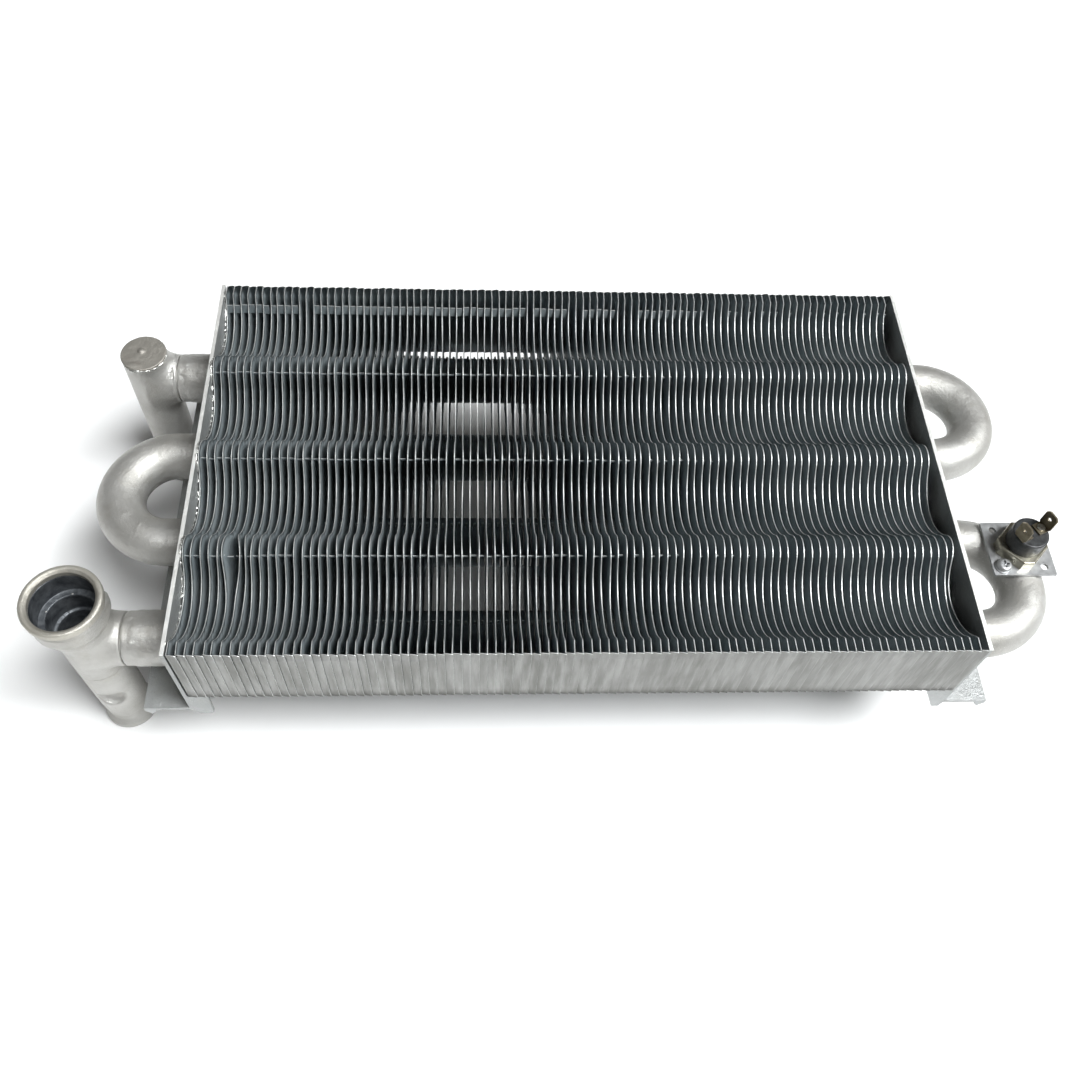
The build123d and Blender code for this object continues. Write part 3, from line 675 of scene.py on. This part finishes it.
# rows of spacer tabs: Y, lower and upper level under the plate top
TABS = [(-48.9, 3.3, 2.5), (-2.7, 3.3, 2.5), (42.8, 3.3, 2.5), (83.2, 8.8, 3.7)]
FADING_TABS = (42, 78)      # between these fins the tabs grow shorter and rarer
TAB_SHARES = (0.8, 0.25)    # part of the gap they cross, before and after
MISSING_TABS = (0.04, 0.55)     # how many of them are missing, before and after


def make_fins(finishes):
    sheet = fin_sheet_mesh()
    generator = np.random.default_rng(7)
    for group in range(0, FIN_COUNT, FINS_PER_PIECE):
        maker = FinMaker()
        for n in range(group, min(group + FINS_PER_PIECE, FIN_COUNT)):
            x = fin_xs[n]

            def lean(y, z, n=n):
                free = max(z - (tube_z + 8.0), 0.0) / 25.0
                wave = noise.noise(Vector((n * 0.9, y * 0.045, z * 0.03)))
                bends = [(middle, half, shift) for m, middle, half, shift in BENT if m == n]
                bent = sum(shift * hump(y, middle, half) for middle, half, shift in bends)
                return free * (0.6 * wave + bent)

            maker.fin(x, sheet, lean)
            for y, below, above in TABS:
                slip = generator.uniform(-0.25, 0.25)
                if generator.random() > np.interp(n, FADING_TABS, MISSING_TABS):
                    maker.tab(x, y + slip, plate_top - below, plate_top - above + slip * 0.6,
                              np.interp(n, FADING_TABS, TAB_SHARES))
            swing, up = generator.uniform(0.25, 0.5), generator.uniform(-0.15, 0.35)
            flange_top = plate_top + up
            maker.flange(x, front_y, -1, wall_bottom, swing, flange_top, 0.35)
            maker.flange(x, back_y, 1, under_bottom + BACK_WALL_BOTTOM, swing, flange_top, 1.0)
            for valley in valley_ys:
                maker.prong(x + generator.uniform(0.9, 1.5), valley + generator.uniform(-0.3, 0.3))
        number = group // FINS_PER_PIECE + 1
        piece = new_piece(f"fins_{number}", maker.vertices, maker.faces, finishes,
                          maker.slots, maker.smooth)
        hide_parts("fin_pack")
        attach(piece, "root")


# ------------------------------------------------------------------ pipes, bends and brazing
TUBE_RADIUS, TUBE_WALL = 10.0, 1.0
SLEEVE_RADIUS = 11.2
SEAM_RADIUS = 10.9          # of a sleeve where it meets the tee or the header
BRANCH_BORE = 7.5
SOCKET_LEVELS = (26.0, 26.2, 36.0, 36.2)    # steps of the union's socket, over the tee's lower end
SOCKET_RADII = (8.6, 9.8, 9.8, 12.3)
BORE_EDGE = 1.2             # chamfer round the union's socket
PIPE_BORE_LEVELS, PIPE_BORES = (18.0, 24.0), (8.0, 5.5)
HEADER_BORE = 8.9


def make_bend(node, material):
    """A return bend, open at the mouth of each leg, dulled a little by dents."""
    low, high = millimetres(node)
    y0, y1 = low.y + TUBE_RADIUS, high.y - TUBE_RADIUS
    middle, turn = (y0 + y1) / 2, (y1 - y0) / 2
    outward = 1 if low.x > 0 else -1
    apex = high.x - TUBE_RADIUS if outward > 0 else low.x + TUBE_RADIUS
    mouth = low.x if outward > 0 else high.x
    turn_x = apex - outward * turn

    def distance(points):
        x = (points[:, 0] - turn_x) * outward
        y, z = points[:, 1] - middle, points[:, 2] - tube_z
        round_part = np.hypot(np.hypot(x, y) - turn, z) - TUBE_RADIUS
        legs = np.hypot(np.abs(y) - turn, z) - TUBE_RADIUS
        pipe = np.where(x > 0, round_part, legs)
        pipe = pipe + 0.10 * ripple(points, 9.0) * (x > -2)
        end = (mouth - points[:, 0]) * outward
        inner = np.hypot(np.abs(y) - turn, z) - TUBE_RADIUS + TUBE_WALL
        return np.maximum(np.maximum(pipe, end), -np.maximum(inner, x + 4.0))

    skin_piece(node + "_skin", distance, low, high, 0.75, [material], node)


def branch_bore(points, x, y):
    """Distance to the bore of the branch that leaves the vertical axis at x, y along +X."""
    around = np.hypot(points[:, 1] - y, points[:, 2] - tube_z)
    return np.maximum(around - BRANCH_BORE, x - points[:, 0])


def make_braze_rings(node, name, xs_ys, radius, thick, material):
    """Lumpy beads of braze round tubes, all in one piece."""
    vertices, faces = [], []
    for x, y in xs_ys:
        centre = (x, y, tube_z)

        def distance(points, centre=centre):
            grow = 0.16 * ripple(points, 1.6) + 0.12 * ripple(points, 4.5)
            return bead(points, centre, 0, radius, thick) - grow

        reach = radius + thick + 0.5
        low = (x - thick - 0.5, y - reach, tube_z - reach)
        high = (x + thick + 0.5, y + reach, tube_z + reach)
        found, quads = skin(distance, low, high, 0.34)
        faces += [[i + len(vertices) for i in quad] for quad in quads]
        vertices += found.tolist()
    piece = new_piece(name, vertices, faces, [material], smooth=True)
    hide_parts(node)
    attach(piece, "root")


def make_sleeve(node, lumps, material):
    """The swelled end of the first or last tube: a seam, a low step and braze lumps.

    A lump is its x, its angle from the top, its length and how far it rises."""
    low, high = millimetres(node)
    y = (low.y + high.y) / 2

    def distance(points):
        across = np.hypot(points[:, 1] - y, points[:, 2] - tube_z)
        radius = np.interp(points[:, 0], [low.x, low.x + 0.5, low.x + 3.0, low.x + 4.6],
                           [SEAM_RADIUS - 0.3, SEAM_RADIUS, SEAM_RADIUS, SLEEVE_RADIUS])
        ends = np.abs(points[:, 0] - (low.x + high.x) / 2) - (high.x - low.x) / 2
        shell = np.maximum(across - radius, ends)
        for x, angle, length, rise in lumps:
            turn = math.radians(angle)
            centre = (x, y + SEAM_RADIUS * math.sin(turn), tube_z + SEAM_RADIUS * math.cos(turn))
            lump = blob(points, centre, (length, length * 0.8, rise)) - 0.12 * ripple(points, 0.9)
            shell = melt(shell, lump, 0.5)
        shell = shell - 0.05 * ripple(points, 1.6) - 0.05 * ripple(points, 6.0)
        return np.maximum(shell, TUBE_RADIUS + 0.02 - across)

    skin_piece(node + "_skin", distance, low, high, 0.5, [material], node)


def make_flow_connection(coat, rim_coat, shaded_bore_finish):
    """The union with its stepped socket and rim, the branch to the first tube and the pipe below."""
    low, high = millimetres("flow_tee")
    rim_low, rim_high = millimetres("flow_union_rim")
    pipe_low, pipe_high = millimetres("flow_pipe")
    x, y = (rim_low.x + rim_high.x) / 2, (rim_low.y + rim_high.y) / 2
    bottom, top = low.z, high.z

    def tee(points):
        steps = [bottom + up for up in (0.0, 25.0, 29.5, 31.0, 33.5, 36.5, 38.0)]
        body = turned(points, x, y, steps + [top], [10.2, 10.2, 11.6, 12.2, 12.4, 13.9, 14.3, 14.3])
        branch = rod(points, (x, y, tube_z), (high.x, y, tube_z), 10.85, 0.4)
        body = melt(body, branch, 7.0)
        weld = bead(points, (x, y, top - 3.0), 2, 14.2, 0.35)
        lower_weld = bead(points, (x, y, bottom + 37.6), 2, 14.05, 0.3)
        body = melt(melt(body, weld, 0.7), lower_weld, 0.8)
        lump = blob(points, (x + 13.2, y + 3.5, top - 5.0), (1.9, 3.4, 3.6))
        body = melt(body, lump - 0.25 * ripple(points, 1.1), 1.6)
        body = body - 0.07 * ripple(points, 3.0) - 0.08 * ripple(points, 9.0)
        body = np.maximum(body, slab(points, bottom, top))
        return np.maximum(body, -np.minimum(socket(points), branch_bore(points, x, y)))

    def socket(points):
        return from_axis(points, x, y) - np.interp(points[:, 2] - bottom, SOCKET_LEVELS, SOCKET_RADII)

    # Faces inside the socket and the branch take the painted-shade bore finish.
    def inside(centres):
        in_branch = (branch_bore(centres, x, y) < 0.7) & (centres[:, 0] > x)
        return (socket(centres) < 0.5) | in_branch

    skin_piece("flow_tee_skin", tee, low, high, 0.6, [coat, shaded_bore_finish],
               "flow_tee", inside)

    def rim(points):
        steps = [rim_high.z - down for down in (3.8, 3.2, 0.6, 0.0)]
        ring = turned(points, x, y, [rim_low.z] + steps, [14.4, 14.5, 15.3, 15.3, 14.8])
        mouth = SOCKET_RADII[-1] + np.maximum(points[:, 2] - (rim_high.z - BORE_EDGE), 0)
        return np.maximum(ring - 0.05 * ripple(points, 3.0), mouth - from_axis(points, x, y))

    skin_piece("flow_union_rim_skin", rim, rim_low, rim_high, 0.4, [rim_coat],
               "flow_union_rim")

    def pipe(points):
        end = pipe_low.z
        levels = [end + up for up in (0.0, 1.2, 3.6, 6.0, 30.0)] + [pipe_high.z]
        body = turned(points, x, y, levels, [10.4, 11.0, 11.0, 9.15, 9.0, 9.0])
        levels = [end + up for up in (12.0, 20.0, 32.0)] + [pipe_high.z]
        body = melt(body, turned(points, x, y, levels, [9.0, 9.7, 9.9, 9.9]), 2.0)
        dent = blob(points, (x + 1.0, y - 11.0, end + 30.0), (9.0, 4.9, 5.5))
        body = carve(body, dent, 0.6) - 0.06 * ripple(points, 5.0)
        body = np.maximum(body, slab(points, end, pipe_high.z))
        bore = np.interp(points[:, 2] - end, PIPE_BORE_LEVELS, PIPE_BORES)
        return np.maximum(body, bore - from_axis(points, x, y))

    skin_piece("flow_pipe_skin", pipe, pipe_low, pipe_high, 0.6, [coat], "flow_pipe")


def make_return_header(coat, cap_coat, solder):
    """The upright header with the branch to the last tube, its cap and the cap's ragged seam."""
    low, high = millimetres("return_header")
    cap_low, cap_high = millimetres("return_cap")
    x, y = (cap_low.x + cap_high.x) / 2, (cap_low.y + cap_high.y) / 2

    def header(points):
        levels = [low.z, low.z + 1.5, low.z + 3.8, low.z + 5.5, high.z]
        body = turned(points, x, y, levels, [10.6, 11.0, 11.0, 10.0, 10.0])
        branch = rod(points, (x, y, tube_z), (high.x, y, tube_z), 10.8, 0.4)
        groove = bead(points, (high.x - 1.6, y, tube_z), 0, 11.0, 0.35)
        body = carve(melt(body, branch, 6.0), groove, 0.3)
        body = body - 0.05 * ripple(points, 3.2) - 0.06 * ripple(points, 10.0)
        body = np.maximum(body, slab(points, low.z, high.z))
        bore = from_axis(points, x, y) - HEADER_BORE
        return np.maximum(body, -np.minimum(bore, branch_bore(points, x, y)))

    skin_piece("return_header_skin", header, low, high, 0.6, [coat],
               "return_header")

    def cap(points):
        disc = rod(points, (x, y, cap_low.z), (x, y, cap_low.z + 1.5), 10.0, 0.45)
        nipple = blob(points, (x - 1.0, y + 1.0, cap_low.z + 1.4), (1.5, 1.5, 1.0))
        ring = bead(points, (x, y, cap_low.z + 1.3), 2, 3.4, 0.10)
        solid = melt(melt(disc, nipple, 0.5), ring, 0.5)
        smear = blob(points, (x - 3.0, y - 7.2, cap_low.z + 1.5), (3.4, 1.4, 0.35))
        solid = melt(solid, smear, 0.4) - 0.04 * ripple(points, 2.0)
        return np.maximum(solid, cap_low.z - points[:, 2])

    skin_piece("return_cap_skin", cap, cap_low, cap_high, 0.36, [cap_coat],
               "return_cap")

    def seam(points):
        ring = bead(points, (x, y, cap_low.z + 0.3), 2, 10.0, 0.32)
        angle = np.arctan2(points[:, 1] - y, points[:, 0] - x)
        shown = 0.9 * np.cos(angle + math.radians(68.0)) - 0.35
        lumps = 0.30 * ripple(points, 1.5) + 0.22 * ripple(points, 0.7)
        drop = blob(points, (x - 2.4, y - 9.6, cap_low.z + 0.3), (2.4, 0.8, 0.8))
        return melt(np.maximum(ring - lumps * 0.8, -shown), drop - 0.3 * ripple(points, 0.9), 0.6)

    seam_low, seam_high = (x - 11.5, y - 11.5, cap_low.z - 1.2), (x + 11.5, y + 11.5, cap_low.z + 1.8)
    skin_piece("cap_solder", seam, seam_low, seam_high, 0.3, [solder], None)


def make_plate_bead(solder):
    """The ragged line of braze between the left end plate and the first fin."""
    x = fin_xs[0] - 0.9
    generator = np.random.default_rng(3)
    ys = np.arange(front_y + 2.0, back_y - 2.0, 0.7)
    sides = 7
    vertices, faces = [], []
    rough = generator.random((len(ys), 3))
    for y, (one, two, three) in zip(ys, rough):
        radius = 0.16 + 0.62 * max(one - 0.42, 0.0) ** 0.8
        centre_x, centre_z = x + (two - 0.5) * 0.9, top_height(y) - 0.5 + (three - 0.5) * 0.7
        for k in range(sides):
            a = 2 * math.pi * k / sides + two
            vertices.append((centre_x + radius * math.cos(a), y + 0.3 * (three - 0.5),
                             centre_z + radius * math.sin(a)))
    for i in range(len(ys) - 1):
        for k in range(sides):
            j = (k + 1) % sides
            faces.append((i * sides + k, i * sides + j, (i + 1) * sides + j, (i + 1) * sides + k))
    faces += [tuple(range(sides))[::-1], tuple(range((len(ys) - 1) * sides, len(ys) * sides))]
    piece = new_piece("plate_bead", vertices, faces, [solder], smooth=True)
    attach(piece, "root")


# ------------------------------------------------------------------ CAD nodes that stay
def repaint(names, finish):
    """Gives CAD nodes a finish."""
    for name in names:
        piece = nodes[name]
        piece.data.materials.clear()
        piece.data.materials.append(finish)


# ------------------------------------------------------------------ the scene
make_camera()
make_world(0.10)
make_sun("key", (0.46, -0.30, 1.0), 3.4, 24.0)
make_sun("window", (0.68, -0.08, 0.90), 1.6, 18.0)
make_softbox("right_box", (0.46, -0.42, 0.78), (0.14, -0.06, 0.07), 0.45, 2.0)

floor_corners = [(FLOOR_REACH * a, FLOOR_REACH * b, 0) for a, b in ((-1, -1), (1, -1), (1, 1), (-1, 1))]
floor = new_piece("floor", floor_corners, [(0, 1, 2, 3)], [floor_finish()])

coat = silver_coat("silver_coat", (0.42, 0.41, 0.385), (0.54, 0.535, 0.515), (0.37, 0.345, 0.30))
plate_coat = silver_coat("plate_coat", (0.33, 0.34, 0.335), (0.44, 0.45, 0.45), (0.29, 0.28, 0.255),
                         bright_above=plate_top * MM)
bright = plain_metal("bright_sheet", (0.42, 0.425, 0.43), (0.55, 0.56, 0.565),
                     metal=0.85, rough=(0.36, 0.5))
case = plain_metal("nickel_case", (0.33, 0.31, 0.25), (0.50, 0.48, 0.40))
blade = plain_metal("terminal_blade", (0.20, 0.17, 0.12), (0.34, 0.30, 0.22), rough=(0.3, 0.5))
rivet = plain_metal("rivet", (0.60, 0.59, 0.54), (0.78, 0.77, 0.72))
strip = plain_metal("steel_strip", (0.30, 0.30, 0.30), (0.45, 0.45, 0.44))
ceramic = plain_metal("ceramic", (0.75, 0.73, 0.68), (0.85, 0.83, 0.78), metal=0.0)

repaint(["tube_1", "tube_2", "tube_3", "tube_4", "sensor_saddle"], coat)
repaint(["end_plate_left", "end_plate_right"], plate_coat)
repaint(["sensor_plate", "sensor_screws", "sensor_washers"], bright)
repaint(["thermostat_case"], case)
repaint(["thermostat_body"], moulding())
repaint(["terminal_left", "terminal_right", "bimetal_disc", "contact_arm"], blade)
repaint(["terminal_rivets"], rivet)
repaint(["turbulator_1", "turbulator_2", "turbulator_3", "turbulator_4"], strip)
repaint(["transfer_pin"], ceramic)
make_fins([fin_face(), fin_edge(), fin_wall()])

rim_coat = silver_coat("rim_coat", (0.44, 0.42, 0.37), (0.56, 0.54, 0.49), (0.36, 0.33, 0.28),
                       rough=(0.40, 0.55))
cap_coat = silver_coat("cap_coat", (0.30, 0.285, 0.255), (0.385, 0.365, 0.33), (0.32, 0.28, 0.25),
                       rough=(0.5, 0.65))
solder = plain_metal("solder", (0.55, 0.55, 0.52), (0.88, 0.88, 0.85),
                     metal=0.9, rough=(0.22, 0.42), depth=0.06)
for bend in ("u_bend_left", "u_bend_right_front", "u_bend_right_back"):
    make_bend(bend, coat)
rings_low, rings_high = millimetres("plate_braze_rings")
joints_low, joints_high = millimetres("bend_braze_rings")
plate_ends = (rings_low.x + 0.5, rings_high.x - 0.5)
joint_ends = (joints_low.x + 0.8, joints_high.x - 0.8)
# side (0 left, 1 right) and tube of each bend's legs
ring_places = [(0, 1), (0, 2), (1, 0), (1, 1), (1, 2), (1, 3)]
plate_places = [(plate_ends[side], tube_ys[tube]) for side, tube in ring_places]
joint_places = [(joint_ends[side], tube_ys[tube]) for side, tube in ring_places]
make_braze_rings("plate_braze_rings", "plate_beads", plate_places, 10.2, 0.75, coat)
make_braze_rings("bend_braze_rings", "joint_beads", joint_places, 10.0, 0.3, coat)
make_sleeve("flow_sleeve", [(-172.0, 20, 1.3, 0.45), (-170.5, -35, 0.9, 0.35)], coat)
make_sleeve("return_sleeve", [(-168.5, -2, 1.4, 0.35), (-166.2, 12, 0.9, 0.28),
                              (-164.8, -14, 1.0, 0.28), (-169.6, -30, 0.9, 0.25),
                              (-162.5, -24, 0.8, 0.25)], coat)
make_flow_connection(coat, rim_coat, painted_shade_bore())
make_return_header(coat, cap_coat, solder)
make_plate_bead(solder)

bpy.context.scene.view_settings.view_transform = "Standard"
